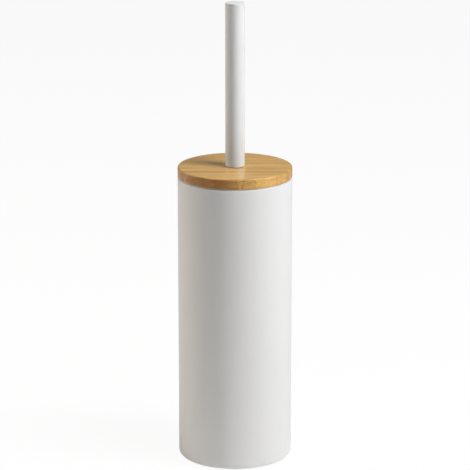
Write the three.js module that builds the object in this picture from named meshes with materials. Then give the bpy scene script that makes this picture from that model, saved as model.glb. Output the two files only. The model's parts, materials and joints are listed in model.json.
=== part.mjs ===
// Toilet brush holder: a painted steel canister with a removable plastic liner, and a brush
// whose bamboo lid closes the canister and carries a white tubular handle.
// Millimetres, +Z up. The origin is the centre of the face that the canister stands on.

import * as THREE from "three";

// Driving dimensions.
const overallHeight = 388;
const bodyRadius = 47.5;
const rimHeight = 241.6; // top of the canister's folded rim
const lidThickness = 8.3;
const handleRadius = 8;
const sheet = 0.8; // steel sheet of the canister
const joint = 0.05; // film of glue or air between two faces that rest on each other
const fit = 0.1; // radial gap of a pressed-in piece
const runningGap = 0.2; // radial gap of a threaded or sliding piece

// Sides of the turned pieces, by their width.
const wideSides = 48;
const tubeSides = 32;
const narrowSides = 24;

// Canister.
const padThickness = 1.6;
const padRadius = 41.5;
const shellFoot = 0.8; // the pad holds the steel this far above the floor
const footRound = 3.2;
const footFlangeRadius = 43;
const hemDepth = 6; // height over which the rim is folded double
const baseDiscGap = 0.3; // between the base disc's wall and the tube
const baseDiscRadius = bodyRadius - sheet - baseDiscGap;
const baseDiscChamfer = 1.8;
const baseDiscInnerChamfer = baseDiscChamfer - sheet * (2 - Math.SQRT2); // keeps the sheet's thickness
const baseDiscWallHeight = 6;

// Liner.
const linerWall = 1.4;
const linerFlangeThickness = 0.6;
const linerFlangeRadius = 46.9;
const linerTopRadius = 45.5; // just inside the folded rim
const linerBottomRadius = 43.5;
const linerFloor = 9; // underside of the liner
const linerCornerRound = 5;

// Lid, and what clamps it to the handle.
const lidBottom = rimHeight + joint + linerFlangeThickness + joint;
const lidTop = lidBottom + lidThickness;
const lidTopRound = 0.9;
const lidBottomRound = 0.5;
const rodRadius = 4;
const rodHoleRadius = rodRadius + runningGap;
const spigotRadius = 42.6; // stepped-down part of the lid, inside the liner's mouth
const spigotDepth = 6;
const spigotChamfer = 0.8;
const sealGrooveDepth = 1.2;
const sealHeight = 2.4;
const sealStandOut = 1.1; // how far the seal ring stands out of its groove
const sealLipSlope = 0.7;
const washerRadius = 10;
const washerThickness = 1.2;
const nutAcrossFlats = 13;
const nutThickness = 6.5;

// Handle.
const tubeWall = 1;
const gasketThickness = 0.4;
const gasketRadius = 7.4;
const capHeadThickness = 1.2;
const capEdgeRound = 0.5;
const capShankLength = 9;
const capShankChamfer = 0.6;
const endPlugLength = 18;
const rodReachInHandle = 16;
const rodChamfer = 0.8;

// Head, counted up from its lowest bristle.
const headFoot = 26;
const coreRadius = 15;
const coreDomeRound = 6;
const coreFoot = headFoot + 8;
const bristleRows = 7;
const rowPitch = 9.4;
const rowThickness = 6.4; // at the bristles' outer ends
const rowRootThickness = 3.2; // where the bristles leave the core
const rowEndRound = 1.5;
const firstRowHeight = headFoot + 20;
const bristleRadius = 39; // longest bristles, half-way up the head
const bristleBarrel = 3; // how much shorter the end rows are
const tipFlatRadius = 18; // lowest bristles
const tipRadius = 33.5;
const tipRise = 11; // height at which the bowl of tip bristles is widest
const tipCornerRadius = 28.5;
const tipCornerRise = 3.7;
const tipTopRadius = 32.5;
const tipHeight = 14.5;
const tipRootGap = 0.3;
const rowToCollar = 5.6; // from the middle of the top row
const collarHeight = firstRowHeight + (bristleRows - 1) * rowPitch + rowToCollar;
const collarRadius = 19;
const collarThickness = 2.4;
const neckRadius = 8.5;
const neckLength = 18; // from the collar's underside
const neckFlare = 2;
const neckFlareLength = 4;
const headTop = collarHeight + neckLength;
const studRadius = 3; // threaded end of the rod
const studLength = 12;
const studChamfer = 0.5;
const studHoleRadius = studRadius + runningGap;
const headSealThickness = 1.6;
const headSealRadius = 5.6;
const insertRadius = 5;
const insertLength = 13;

// A finish is a MeshStandardMaterial with the part's colour, roughness and metalness.
const finish = (color, roughness, metalness = 0) =>
  new THREE.MeshStandardMaterial({ color, roughness, metalness });
const finishes = {
  paint: finish(0xeeeeee, 0.5),
  bamboo: finish(0xc8965a, 0.5),
  padRubber: finish(0x55565a, 0.9),
  linerPlastic: finish(0xe9eaea, 0.45),
  silicone: finish(0xdcdedf, 0.6),
  steel: finish(0xb9bcc0, 0.3, 1),
  brass: finish(0xc9a85a, 0.35, 1),
  headPlastic: finish(0xf2f2f0, 0.4),
  bristle: finish(0xf4f4f2, 0.6),
};

// Points of an arc in the (radius, height) plane, angles in degrees from the radius axis.
function arc(centreRadius, centreHeight, radius, fromDegrees, toDegrees, steps) {
  return Array.from({ length: steps + 1 }, (_, i) => {
    const angle = THREE.MathUtils.degToRad(fromDegrees + ((toDegrees - fromDegrees) * i) / steps);
    return [centreRadius + radius * Math.cos(angle), centreHeight + radius * Math.sin(angle)];
  });
}

// A body turned about Z from an outline of [radius, height] points, given anticlockwise with
// height up. An outline that doesn't reach the axis at both ends is closed on itself.
function turned(name, material, outline, sides) {
  const closed = outline[0][0] === 0 && outline.at(-1)[0] === 0 ? outline : [...outline, outline[0]];
  const geometry = new THREE.LatheGeometry(
    closed.map(([radius, height]) => new THREE.Vector2(radius, height)),
    sides,
  );
  geometry.rotateX(Math.PI / 2);
  return named(name, geometry, material);
}

function named(name, geometry, material) {
  const mesh = new THREE.Mesh(geometry, material);
  mesh.name = name;
  return mesh;
}

// A plain ring between two radii and two heights.
function ring(name, material, innerRadius, outerRadius, low, high, sides) {
  const outline = [
    [innerRadius, low],
    [outerRadius, low],
    [outerRadius, high],
    [innerRadius, high],
  ];
  return turned(name, material, outline, sides);
}

// Tube of sheet steel, its lower edge turned in as a foot flange, its upper edge folded in.
function outerShell() {
  const inner = bodyRadius - sheet;
  const hemInner = bodyRadius - 2 * sheet;
  const hemRound = sheet / 2;
  const outline = [
    [footFlangeRadius, shellFoot],
    ...arc(bodyRadius - footRound, shellFoot + footRound, footRound, -90, 0, 5),
    ...arc(bodyRadius - hemRound, rimHeight - hemRound, hemRound, 0, 90, 2),
    [hemInner, rimHeight],
    [hemInner, rimHeight - hemDepth],
    [inner, rimHeight - hemDepth - sheet],
    ...arc(bodyRadius - footRound, shellFoot + footRound, footRound - sheet, 0, -90, 5),
    [footFlangeRadius, shellFoot + sheet],
  ];
  return turned("outer_shell", finishes.paint, outline, wideSides);
}

// Pressed disc that closes the bottom: it lies on the foot flange, its wall fixed to the tube.
function baseDisc() {
  const low = shellFoot + sheet + joint;
  const high = low + sheet;
  const outline = [
    [0, low],
    [baseDiscRadius - baseDiscChamfer, low],
    [baseDiscRadius, low + baseDiscChamfer],
    [baseDiscRadius, low + baseDiscWallHeight],
    [baseDiscRadius - sheet, low + baseDiscWallHeight],
    [baseDiscRadius - sheet, high + baseDiscInnerChamfer],
    [baseDiscRadius - sheet - baseDiscInnerChamfer, high],
    [0, high],
  ];
  return turned("base_disc", finishes.paint, outline, wideSides);
}

function antiSlipPad() {
  const outline = [
    [0, 0],
    [padRadius, 0],
    [padRadius, padThickness],
    [0, padThickness],
  ];
  return turned("anti_slip_pad", finishes.padRubber, outline, wideSides);
}

// Moulded cup that hangs from the rim by its flange and tapers to its floor.
function innerLiner() {
  const flangeLow = rimHeight + joint;
  const flangeHigh = flangeLow + linerFlangeThickness;
  const floorInside = linerFloor + linerWall;
  const innerRound = linerCornerRound - linerWall;
  const outline = [
    [0, linerFloor],
    ...arc(linerBottomRadius - linerCornerRound, linerFloor + linerCornerRound, linerCornerRound, -90, 0, 4),
    [linerTopRadius, flangeLow],
    [linerFlangeRadius, flangeLow],
    [linerFlangeRadius, flangeHigh],
    [linerTopRadius - linerWall, flangeHigh],
    ...arc(linerBottomRadius - linerCornerRound, floorInside + innerRound, innerRound, 0, -90, 4),
    [0, floorInside],
  ];
  return turned("inner_liner", finishes.linerPlastic, outline, wideSides);
}

const spigotLow = lidBottom - spigotDepth;
const sealMiddle = lidBottom - spigotDepth / 2;

// Bamboo disc as wide as the canister, bored for the rod. Its underside is stepped down to a
// spigot that centres it in the liner's mouth, with a groove round the spigot for the seal ring.
function lidDisc() {
  const grooveHalf = sealHeight / 2 + fit;
  const grooveRadius = spigotRadius - sealGrooveDepth;
  const outline = [
    [rodHoleRadius, spigotLow],
    [spigotRadius - spigotChamfer, spigotLow],
    [spigotRadius, spigotLow + spigotChamfer],
    [spigotRadius, sealMiddle - grooveHalf],
    [grooveRadius, sealMiddle - grooveHalf],
    [grooveRadius, sealMiddle + grooveHalf],
    [spigotRadius, sealMiddle + grooveHalf],
    [spigotRadius, lidBottom],
    ...arc(bodyRadius - lidBottomRound, lidBottom + lidBottomRound, lidBottomRound, -90, 0, 2),
    ...arc(bodyRadius - lidTopRound, lidTop - lidTopRound, lidTopRound, 0, 90, 3),
    [rodHoleRadius, lidTop],
  ];
  return turned("lid_disc", finishes.bamboo, outline, wideSides);
}

// Soft ring in the spigot's groove, with a lip that comes to an edge half-way up.
function lidSealRing() {
  const inner = spigotRadius - sealGrooveDepth + fit;
  const outer = spigotRadius + sealStandOut;
  const half = sealHeight / 2;
  const outline = [
    [inner, sealMiddle - half],
    [outer - sealLipSlope, sealMiddle - half],
    [outer, sealMiddle],
    [outer - sealLipSlope, sealMiddle + half],
    [inner, sealMiddle + half],
  ];
  return turned("lid_seal_ring", finishes.silicone, outline, wideSides);
}

const washerTop = spigotLow - joint;
const nutTop = washerTop - washerThickness - joint;

function clampWasher() {
  const low = washerTop - washerThickness;
  return ring("clamp_washer", finishes.steel, rodHoleRadius, washerRadius, low, washerTop, narrowSides);
}

// Hexagon nut that draws the washer and the lid up against the handle.
function clampNut() {
  const hexagon = new THREE.Shape();
  const cornerRadius = nutAcrossFlats / Math.sqrt(3);
  for (let i = 0; i < 6; i += 1) {
    const angle = (i * Math.PI) / 3;
    hexagon[i ? "lineTo" : "moveTo"](cornerRadius * Math.cos(angle), cornerRadius * Math.sin(angle));
  }
  hexagon.closePath();
  hexagon.holes.push(new THREE.Path().absarc(0, 0, rodHoleRadius, 0, 2 * Math.PI, true));
  const geometry = new THREE.ExtrudeGeometry(hexagon, {
    depth: nutThickness,
    bevelEnabled: false,
    curveSegments: narrowSides,
  });
  geometry.translate(0, 0, nutTop - nutThickness);
  return named("clamp_nut", geometry, finishes.steel);
}

const gasketLow = lidTop + joint;
const tubeLow = gasketLow + gasketThickness + joint;
const tubeHigh = overallHeight - capHeadThickness - joint;
const boreRadius = handleRadius - tubeWall;

function handleGasket() {
  const high = gasketLow + gasketThickness;
  return ring("handle_gasket", finishes.silicone, rodHoleRadius, gasketRadius, gasketLow, high, tubeSides);
}

function handleTube() {
  return ring("handle_tube", finishes.paint, boreRadius, handleRadius, tubeLow, tubeHigh, tubeSides);
}

// Pressed-in sleeve with the thread that the rod screws into.
function handleEndPlug() {
  const outer = boreRadius - fit;
  const high = tubeLow + endPlugLength;
  return ring("handle_end_plug", finishes.linerPlastic, rodHoleRadius, outer, tubeLow, high, narrowSides);
}

// Cap that closes the top of the handle: a thin head on a pressed-in shank.
function handleTopCap() {
  const headLow = overallHeight - capHeadThickness;
  const shankRadius = boreRadius - fit;
  const outline = [
    [0, headLow - capShankLength],
    [shankRadius - capShankChamfer, headLow - capShankLength],
    [shankRadius, headLow - capShankLength + capShankChamfer],
    [shankRadius, headLow],
    [handleRadius, headLow],
    ...arc(handleRadius - capEdgeRound, overallHeight - capEdgeRound, capEdgeRound, 0, 90, 3),
    [0, overallHeight],
  ];
  return turned("handle_top_cap", finishes.paint, outline, tubeSides);
}

const rodShoulder = headTop + joint + headSealThickness + joint;

// Steel rod from inside the handle to the head, its lower end turned down to a threaded stud.
function stemRod() {
  const high = tubeLow + rodReachInHandle;
  const outline = [
    [0, rodShoulder - studLength],
    [studRadius - studChamfer, rodShoulder - studLength],
    [studRadius, rodShoulder - studLength + studChamfer],
    [studRadius, rodShoulder],
    [rodRadius, rodShoulder],
    [rodRadius, high - rodChamfer],
    [rodRadius - rodChamfer, high],
    [0, high],
  ];
  return turned("stem_rod", finishes.steel, outline, narrowSides);
}

function headSealRing() {
  const low = headTop + joint;
  const high = low + headSealThickness;
  return ring("head_seal_ring", finishes.silicone, studHoleRadius, headSealRadius, low, high, narrowSides);
}

// Threaded sleeve moulded into the neck of the head.
function headInsert() {
  const low = headTop - insertLength;
  return ring("head_insert", finishes.brass, studHoleRadius, insertRadius, low, headTop, narrowSides);
}

// Moulded core: a domed cylinder for the bristles, a splash collar, and a neck with a blind bore.
function headCore() {
  const boreFloor = headTop - insertLength - joint;
  const outline = [
    [0, coreFoot],
    ...arc(coreRadius - coreDomeRound, coreFoot + coreDomeRound, coreDomeRound, -90, 0, 4),
    [coreRadius, collarHeight],
    [collarRadius, collarHeight],
    [collarRadius, collarHeight + collarThickness],
    [neckRadius + neckFlare, collarHeight + collarThickness + neckFlareLength],
    [neckRadius, headTop],
    [insertRadius + fit, headTop],
    [insertRadius + fit, boreFloor],
    [0, boreFloor],
  ];
  return turned("head_core", finishes.headPlastic, outline, narrowSides);
}

// One row of bristles as the solid ring that it fills, thicker outwards as the tufts spread.
// The rows bulge like a barrel: the row half-way up is the longest.
function bristleRow(index) {
  const middle = firstRowHeight + index * rowPitch;
  const fromMiddle = (2 * index) / (bristleRows - 1) - 1;
  const outer = bristleRadius - bristleBarrel * fromMiddle ** 2;
  const inner = coreRadius + fit;
  const half = rowThickness / 2;
  const endHalf = half - rowEndRound;
  const rootHalf = rowRootThickness / 2;
  const outline = [
    [inner, middle - rootHalf],
    [outer - rowEndRound, middle - half],
    [outer, middle - endHalf],
    [outer, middle + endHalf],
    [outer - rowEndRound, middle + half],
    [inner, middle + rootHalf],
  ];
  return turned(`bristle_row_${index + 1}`, finishes.bristle, outline, narrowSides);
}

// The bristles that fan out of the core's dome, as the thick bowl that they fill under it.
function bristleTip() {
  const outline = [
    [0, headFoot],
    [tipFlatRadius, headFoot],
    [tipCornerRadius, headFoot + tipCornerRise],
    [tipRadius, headFoot + tipRise],
    [tipTopRadius, headFoot + tipHeight],
    [coreRadius + tipRootGap, headFoot + tipHeight],
    ...arc(coreRadius - coreDomeRound, coreFoot + coreDomeRound, coreDomeRound + tipRootGap, 0, -90, 3),
    [0, coreFoot - tipRootGap],
  ];
  return turned("bristle_tip", finishes.bristle, outline, narrowSides);
}

function assembly(...members) {
  return new THREE.Group().add(...members);
}

const holder = assembly(outerShell(), baseDisc(), antiSlipPad());
const liner = assembly(innerLiner());
const lid = assembly(lidDisc(), lidSealRing(), clampWasher(), clampNut());
const handle = assembly(handleGasket(), handleTube(), handleEndPlug(), handleTopCap());
const rows = Array.from({ length: bristleRows }, (_, index) => bristleRow(index));
const head = assembly(headSealRing(), headInsert(), headCore(), ...rows, bristleTip());
const brush = assembly(lid, handle, stemRod(), head);

export default assembly(holder, liner, brush);
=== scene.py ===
"""Finished surfaces for a toilet brush holder: a white powder-coated canister with a plastic liner,
and a brush whose bamboo lid closes the canister under a straight white handle.

Every new piece is a surface worked out on a grid of two parameters, in metres, in the frame of the
solid parts. Each one rides on the body that it belongs to and stands for the solid of that part.
"""

import functools
import json
import math

import bpy
import numpy as np
from bpy.props import FloatProperty, FloatVectorProperty, IntProperty, PointerProperty
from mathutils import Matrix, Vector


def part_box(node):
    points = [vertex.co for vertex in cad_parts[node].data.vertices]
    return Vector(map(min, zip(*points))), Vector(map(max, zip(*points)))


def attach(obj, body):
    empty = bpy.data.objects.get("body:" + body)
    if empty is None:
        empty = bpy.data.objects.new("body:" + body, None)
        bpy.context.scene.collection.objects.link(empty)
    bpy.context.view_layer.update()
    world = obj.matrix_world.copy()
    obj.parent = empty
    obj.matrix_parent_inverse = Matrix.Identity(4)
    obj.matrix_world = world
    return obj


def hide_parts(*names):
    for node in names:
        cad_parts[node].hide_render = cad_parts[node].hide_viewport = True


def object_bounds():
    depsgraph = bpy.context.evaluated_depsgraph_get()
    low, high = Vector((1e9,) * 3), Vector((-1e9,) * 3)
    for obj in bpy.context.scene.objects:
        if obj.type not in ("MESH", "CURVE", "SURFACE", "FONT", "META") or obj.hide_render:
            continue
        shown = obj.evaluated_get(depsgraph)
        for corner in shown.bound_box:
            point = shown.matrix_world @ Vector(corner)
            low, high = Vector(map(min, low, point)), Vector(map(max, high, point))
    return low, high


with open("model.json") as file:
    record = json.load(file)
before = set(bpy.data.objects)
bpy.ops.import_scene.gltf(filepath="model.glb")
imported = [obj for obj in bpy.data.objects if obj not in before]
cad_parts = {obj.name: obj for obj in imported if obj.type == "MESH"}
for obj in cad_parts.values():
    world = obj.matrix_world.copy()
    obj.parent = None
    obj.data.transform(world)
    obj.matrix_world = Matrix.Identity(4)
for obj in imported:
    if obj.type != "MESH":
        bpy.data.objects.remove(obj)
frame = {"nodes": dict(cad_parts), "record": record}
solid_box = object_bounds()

bl_info = {
    "name": "Toilet Brush Holder",
    "version": (1, 0),
    "blender": (4, 5, 0),
    "location": "3D View > Sidebar > Brush Holder",
    "description": "Builds the finished pieces, materials and stage of a toilet brush holder",
    "category": "Object",
}

MM = 0.001
TINY = 1e-7  # a radius or a step below this counts as none
SHARP_ANGLE = math.radians(40)  # an edge that turns more than this is shown sharp
ON_WALL = 0.02 * MM  # a point nearer than this to a wall's radius belongs to the wall
STRIP_SHIFT = 0.96  # share of a strip that the bamboo's pattern is moved along Y
BRISTLE_SEED = 11
CORE_RADIUS = 15 * MM
DOME_ROUND = 6 * MM
STUD_RADIUS = 3 * MM
STEM_CUT = 0.6 * MM  # depth of the thread at the lid
STUD_CUT = 0.45 * MM  # depth of the thread in the head


# ---------------------------------------------------------------------------- Settings


def metres(name, description, default):
    """A setting in metres."""
    return FloatProperty(name=name, description=description, default=default, unit="LENGTH")


def watts(name, description, default):
    """A light's power as a setting."""
    return FloatProperty(name=name, description=description, default=default, unit="POWER")


def tint(name, description, default):
    """A colour as a setting."""
    return FloatVectorProperty(
        name=name, description=description, default=default, subtype="COLOR", min=0, max=1
    )


class CanisterSettings(bpy.types.PropertyGroup):
    """Sizes of the canister, its base, its foot and its liner that their outer boxes don't give."""

    sheet: metres("Sheet", "Thickness of the steel sheet", 0.8 * MM)
    foot_round: metres("Foot Round", "Outer round of the lower edge", 3.2 * MM)
    foot_opening: metres("Foot Opening", "Radius inside the turned-in foot", 43 * MM)
    hem_depth: metres("Hem Depth", "Height of the folded rim", 6 * MM)
    liner_wall: metres("Liner Wall", "Wall thickness of the liner", 1.4 * MM)
    liner_mouth: metres("Liner Mouth", "Outer radius of the liner at its flange", 45.5 * MM)
    liner_floor: metres("Liner Floor", "Outer radius of the liner at its floor", 43.5 * MM)
    white: tint("White", "Colour of the powder coat", (0.835, 0.84, 0.845))


class LidSettings(bpy.types.PropertyGroup):
    """Sizes and colours of the bamboo lid."""

    spigot_radius: metres("Spigot Radius", "Radius of the stepped-down part", 42.6 * MM)
    spigot_depth: metres("Spigot Depth", "Depth of the stepped-down part", 6 * MM)
    bore: metres("Bore", "Radius of the hole for the stem", 4.2 * MM)
    top_round: metres("Top Round", "Round of the upper edge", 0.9 * MM)
    strip: metres("Strip", "Width of one glued bamboo strip", 5.6 * MM)
    front_joint: metres("Front Joint", "Place along X of the cane's joint in the front strip", 5 * MM)
    pale: tint("Pale Fibre", "Colour between the fibres", (0.905, 0.578, 0.176))
    dark: tint("Dark Fibre", "Colour of the fibre bundles", (0.4, 0.165, 0.033))


class BrushSettings(bpy.types.PropertyGroup):
    """Sizes of the stem, its threads and the bristles."""

    tube_wall: metres("Tube Wall", "Wall thickness of the handle", 1 * MM)
    stem_pitch: metres("Stem Pitch", "Pitch of the thread at the lid", 1.25 * MM)
    stud_pitch: metres("Stud Pitch", "Pitch of the thread in the head", 1 * MM)
    tufts: IntProperty(name="Tufts", description="Tufts in one row", default=20, min=6, max=40)
    strands: IntProperty(name="Strands", description="Bristles in one tuft", default=44, min=4, max=90)
    strand_radius: metres("Strand Radius", "Radius of one bristle", 0.2 * MM)
    crimp: metres("Crimp", "Side-to-side wave of one bristle", 0.22 * MM)


class StageSettings(bpy.types.PropertyGroup):
    """Camera and light. Angles are measured round the canister from the camera's side."""

    camera_distance: metres("Camera Distance", "Level distance of the camera", 2.073)
    camera_height: metres("Camera Height", "Height of the camera", 0.7656)
    camera_tilt: FloatProperty(
        name="Camera Tilt", description="Tilt below the horizon", default=math.radians(15.482),
        unit="ROTATION",
    )
    lens: FloatProperty(name="Lens", description="Focal length in millimetres", default=197.7)
    high_power: watts("High Key", "Power of the high key", 15.4)
    low_power: watts("Low Key", "Power of the low key", 7.8)
    fill_power: watts("Fill", "Power of the fill light", 8.6)
    sky_low: FloatProperty(
        name="Sky at Horizon", description="Light of the sky at the horizon", default=0.05
    )
    sky_high: FloatProperty(name="Sky Overhead", description="Light added overhead", default=0.09)
    sky_sheen: FloatProperty(name="Sky Sheen", description="Light that shiny parts mirror", default=0.5)


# ---------------------------------------------------------------------------- Surfaces


def direction(vectors):
    """Vectors divided by their length, along the last axis."""
    return vectors / np.maximum(np.linalg.norm(vectors, axis=-1, keepdims=True), 1e-12)


def smooth(share):
    """0 below 0, 1 above 1, and a soft step 3 t^2 - 2 t^3 between them."""
    t = np.clip(share, 0, 1)
    return t * t * (3 - 2 * t)


def rounded(corners, steps=6):
    """A closed outline with rounded corners, as (radius, height) points.

    A corner is (radius, height, round). Its arc has the radius round and touches the corner's two
    sides at round / tan(half the angle between them). Its centre is round / sin(half the angle)
    away, on the line that halves the corner, and the arc's points turn evenly round that centre.
    """
    corner = np.asarray(corners, float)
    place, size = corner[:, :2], corner[:, 2:]
    back = direction(np.roll(place, 1, axis=0) - place)
    ahead = direction(np.roll(place, -1, axis=0) - place)
    half = np.arccos(np.clip((back * ahead).sum(1, keepdims=True), -1, 1)) / 2
    centre = place + direction(back + ahead) * size / np.sin(half)
    start = place + back * size / np.tan(half) - centre
    end = place + ahead * size / np.tan(half) - centre
    turn = np.pi - 2 * half
    share = np.linspace(0, 1, steps)[:, None, None]
    arc = (np.sin((1 - share) * turn) * start + np.sin(share * turn) * end) / np.sin(turn)
    points = (centre + arc).transpose(1, 0, 2).reshape(-1, 2)
    step = np.linalg.norm(np.diff(points, axis=0, append=points[:1]), axis=1)
    return points[step > TINY]


def divided(outline, longest):
    """The closed outline with evenly spaced points added, so that no side is longer than longest."""
    ahead = np.roll(outline, -1, axis=0)
    parts = np.maximum(np.ceil(np.linalg.norm(ahead - outline, axis=1) / longest).astype(int), 1)
    side = np.repeat(np.arange(len(outline)), parts)
    step = np.arange(parts.sum()) - np.repeat(np.cumsum(parts) - parts, parts)
    share = (step / parts[side])[:, None]
    return outline[side] * (1 - share) + ahead[side] * share


def grid_faces(rows, columns, loop):
    """Four-sided faces of a grid whose columns close round. Its rows close round too if loop."""
    row = np.arange(rows if loop else rows - 1)[:, None]
    column = np.arange(columns)[None, :]
    right, above = (column + 1) % columns, (row + 1) % rows
    here, over = row * columns, above * columns
    corners = (here + column, here + right, over + right, over + column)
    return np.stack(np.broadcast_arrays(*corners), -1).reshape(-1, 4)


def turned(outline, sides, shape=None):
    """The outline turned about Z: a point is (radius cos(angle), radius sin(angle), height).

    shape(radius, height, angle) may give another radius to each point of the grid, such as a
    thread's or a flute's. An outline that begins and ends on the axis is closed there by a fan.
    Returns the points, the four-sided faces and the triangles.
    """
    on_axis = outline[:, 0] < TINY
    body = outline[~on_axis]
    angle = np.linspace(0, 2 * np.pi, sides, endpoint=False)[None, :]
    radius, height = np.broadcast_to(body[:, :1], (len(body), sides)), body[:, 1:]
    if shape is not None:
        radius = shape(radius, height, angle)
    height = np.broadcast_to(height, radius.shape)
    points = np.stack([radius * np.cos(angle), radius * np.sin(angle), height], -1).reshape(-1, 3)
    quads = grid_faces(len(body), sides, loop=not on_axis.any())
    if not on_axis.any():
        return points, quads, np.empty((0, 3), int)
    foot, top = outline[on_axis][:2, 1]
    column = np.arange(sides)
    right = (column + 1) % sides
    last_row = (len(body) - 1) * sides
    foot_pole, top_pole = np.full(sides, len(points)), np.full(sides, len(points) + 1)
    fans = np.vstack([
        np.stack([foot_pole, right, column], -1),
        np.stack([top_pole, last_row + column, last_row + right], -1),
    ])
    return np.vstack([points, [[0, 0, foot], [0, 0, top]]]), quads, fans


def thread_ridge(height, angle, pitch):
    """A right-handed screw's ridge, from 0 in its groove to 1 on its crest.

    The phase is height / pitch - angle / full turn, and the ridge is a triangle wave of it with
    a flattened crest and groove.
    """
    phase = (height / pitch - angle / (2 * np.pi)) % 1
    return np.clip(1.35 * (1 - np.abs(2 * phase - 1)) - 0.15, 0, 1)


def window(height, low, high, fade):
    """1 between low and high, falling softly to 0 over the distance fade outside them."""
    return smooth((height - low) / fade + 1) * smooth((high - height) / fade + 1)


def add_piece(name, surface, material, body, nodes):
    """Makes a surface into an object that rides on a body and stands for that body's solid parts."""
    points, quads, triangles = surface
    mesh = bpy.data.meshes.new(name)
    mesh.vertices.add(len(points))
    mesh.vertices.foreach_set("co", points.astype(np.float32).ravel())
    corners = np.concatenate([quads.ravel(), triangles.ravel()]).astype(np.int32)
    mesh.loops.add(len(corners))
    mesh.loops.foreach_set("vertex_index", corners)
    starts = np.concatenate([np.arange(len(quads)) * 4, quads.size + np.arange(len(triangles)) * 3])
    mesh.polygons.add(len(starts))
    mesh.polygons.foreach_set("loop_start", starts.astype(np.int32))
    mesh.update(calc_edges=True)
    mesh.shade_smooth()
    mesh.set_sharp_from_angle(angle=SHARP_ANGLE)
    mesh.materials.append(material)
    piece = bpy.data.objects.new(name, mesh)
    bpy.context.scene.collection.objects.link(piece)
    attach(piece, body)
    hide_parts(*nodes)
    return piece


def span(node):
    """A round part's outer radius, lowest height and highest height, from its solid."""
    low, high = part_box(node)
    return high.x, low.z, high.z


# ---------------------------------------------------------------------------- Shader building


def add_node(tree, kind, inputs=None, **settings):
    """One node. inputs gives values, or sockets to link from, by the input's name or number."""
    node = tree.nodes.new(kind)
    for name, value in settings.items():
        setattr(node, name, value)
    for name, value in (inputs or {}).items():
        if isinstance(value, bpy.types.NodeSocket):
            tree.links.new(value, node.inputs[name])
        else:
            node.inputs[name].default_value = value
    return node


def calculate(tree, operation, *values, clamp=False):
    """The output of a Math node."""
    inputs = dict(enumerate(values))
    return add_node(tree, "ShaderNodeMath", inputs, operation=operation, use_clamp=clamp).outputs[0]


def combined(tree, *parts):
    """A vector of up to three numbers or sockets."""
    return add_node(tree, "ShaderNodeCombineXYZ", dict(enumerate(parts))).outputs[0]


def bumped(tree, height, distance):
    """A normal that rises and falls with a height socket by the given distance."""
    inputs = {"Height": height, "Distance": distance, "Strength": 1.0}
    return add_node(tree, "ShaderNodeBump", inputs).outputs[0]


def scaled(tree, vector, scale):
    """A vector multiplied by three numbers or by a vector socket."""
    node = add_node(tree, "ShaderNodeVectorMath", {0: vector, 1: scale}, operation="MULTIPLY")
    return node.outputs[0]


def remap(tree, value, low, high, to_low=0.0, to_high=1.0):
    """A smooth step of a value between low and high, to the range from to_low to to_high."""
    inputs = {"Value": value, "From Min": low, "From Max": high, "To Min": to_low, "To Max": to_high}
    return add_node(tree, "ShaderNodeMapRange", inputs, interpolation_type="SMOOTHSTEP").outputs[0]


def blend(tree, factor, first, second, mode="MIX"):
    """Two colours mixed by a factor."""
    inputs = {0: factor, 6: first, 7: second}
    return add_node(tree, "ShaderNodeMix", inputs, data_type="RGBA", blend_type=mode).outputs[2]


def noise(tree, vector, detail=2.0, roughness=0.5):
    """Noise with one feature per unit of the vector, from 0 to 1."""
    inputs = {"Vector": vector, "Scale": 1.0, "Detail": detail, "Roughness": roughness}
    return add_node(tree, "ShaderNodeTexNoise", inputs).outputs["Fac"]


def random_of(tree, value, seed):
    """A random number from 0 to 1 for each whole number, the same on each run."""
    inputs = {"W": calculate(tree, "ADD", value, seed)}
    return add_node(tree, "ShaderNodeTexWhiteNoise", inputs, noise_dimensions="1D").outputs["Value"]


def connect(tree, ends, **sockets):
    """Links sockets to a shader's inputs or a group's results, by name, with _ for a space."""
    for name, socket in sockets.items():
        tree.links.new(socket, ends[name.replace("_", " ")])


def opaque(color):
    """A colour's three numbers with an alpha of 1."""
    return (*color[:3], 1.0)


def new_group(name, inputs, outputs):
    """An empty shader node group with named sockets. Each is (kind, name) or (kind, name, default)."""
    tree = bpy.data.node_groups.new(name, "ShaderNodeTree")
    for in_out, sockets in (("INPUT", inputs), ("OUTPUT", outputs)):
        for kind, label, *default in sockets:
            socket = tree.interface.new_socket(name=label, in_out=in_out, socket_type="NodeSocket" + kind)
            if default:
                socket.default_value = default[0]
    return tree, tree.nodes.new("NodeGroupInput").outputs, tree.nodes.new("NodeGroupOutput").inputs


def relief_group():
    """Fine Relief: soft lumps of a given size and depth, as a normal."""
    sockets = [("Vector", "Vector"), ("Float", "Size", MM), ("Float", "Depth", 0.01 * MM)]
    tree, given, result = new_group("Fine Relief", sockets, [("Vector", "Normal")])
    spacing = calculate(tree, "DIVIDE", 1.0, given["Size"])
    lumps = noise(tree, scaled(tree, given["Vector"], spacing), detail=2.5)
    connect(tree, result, Normal=bumped(tree, lumps, given["Depth"]))
    return tree


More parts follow.
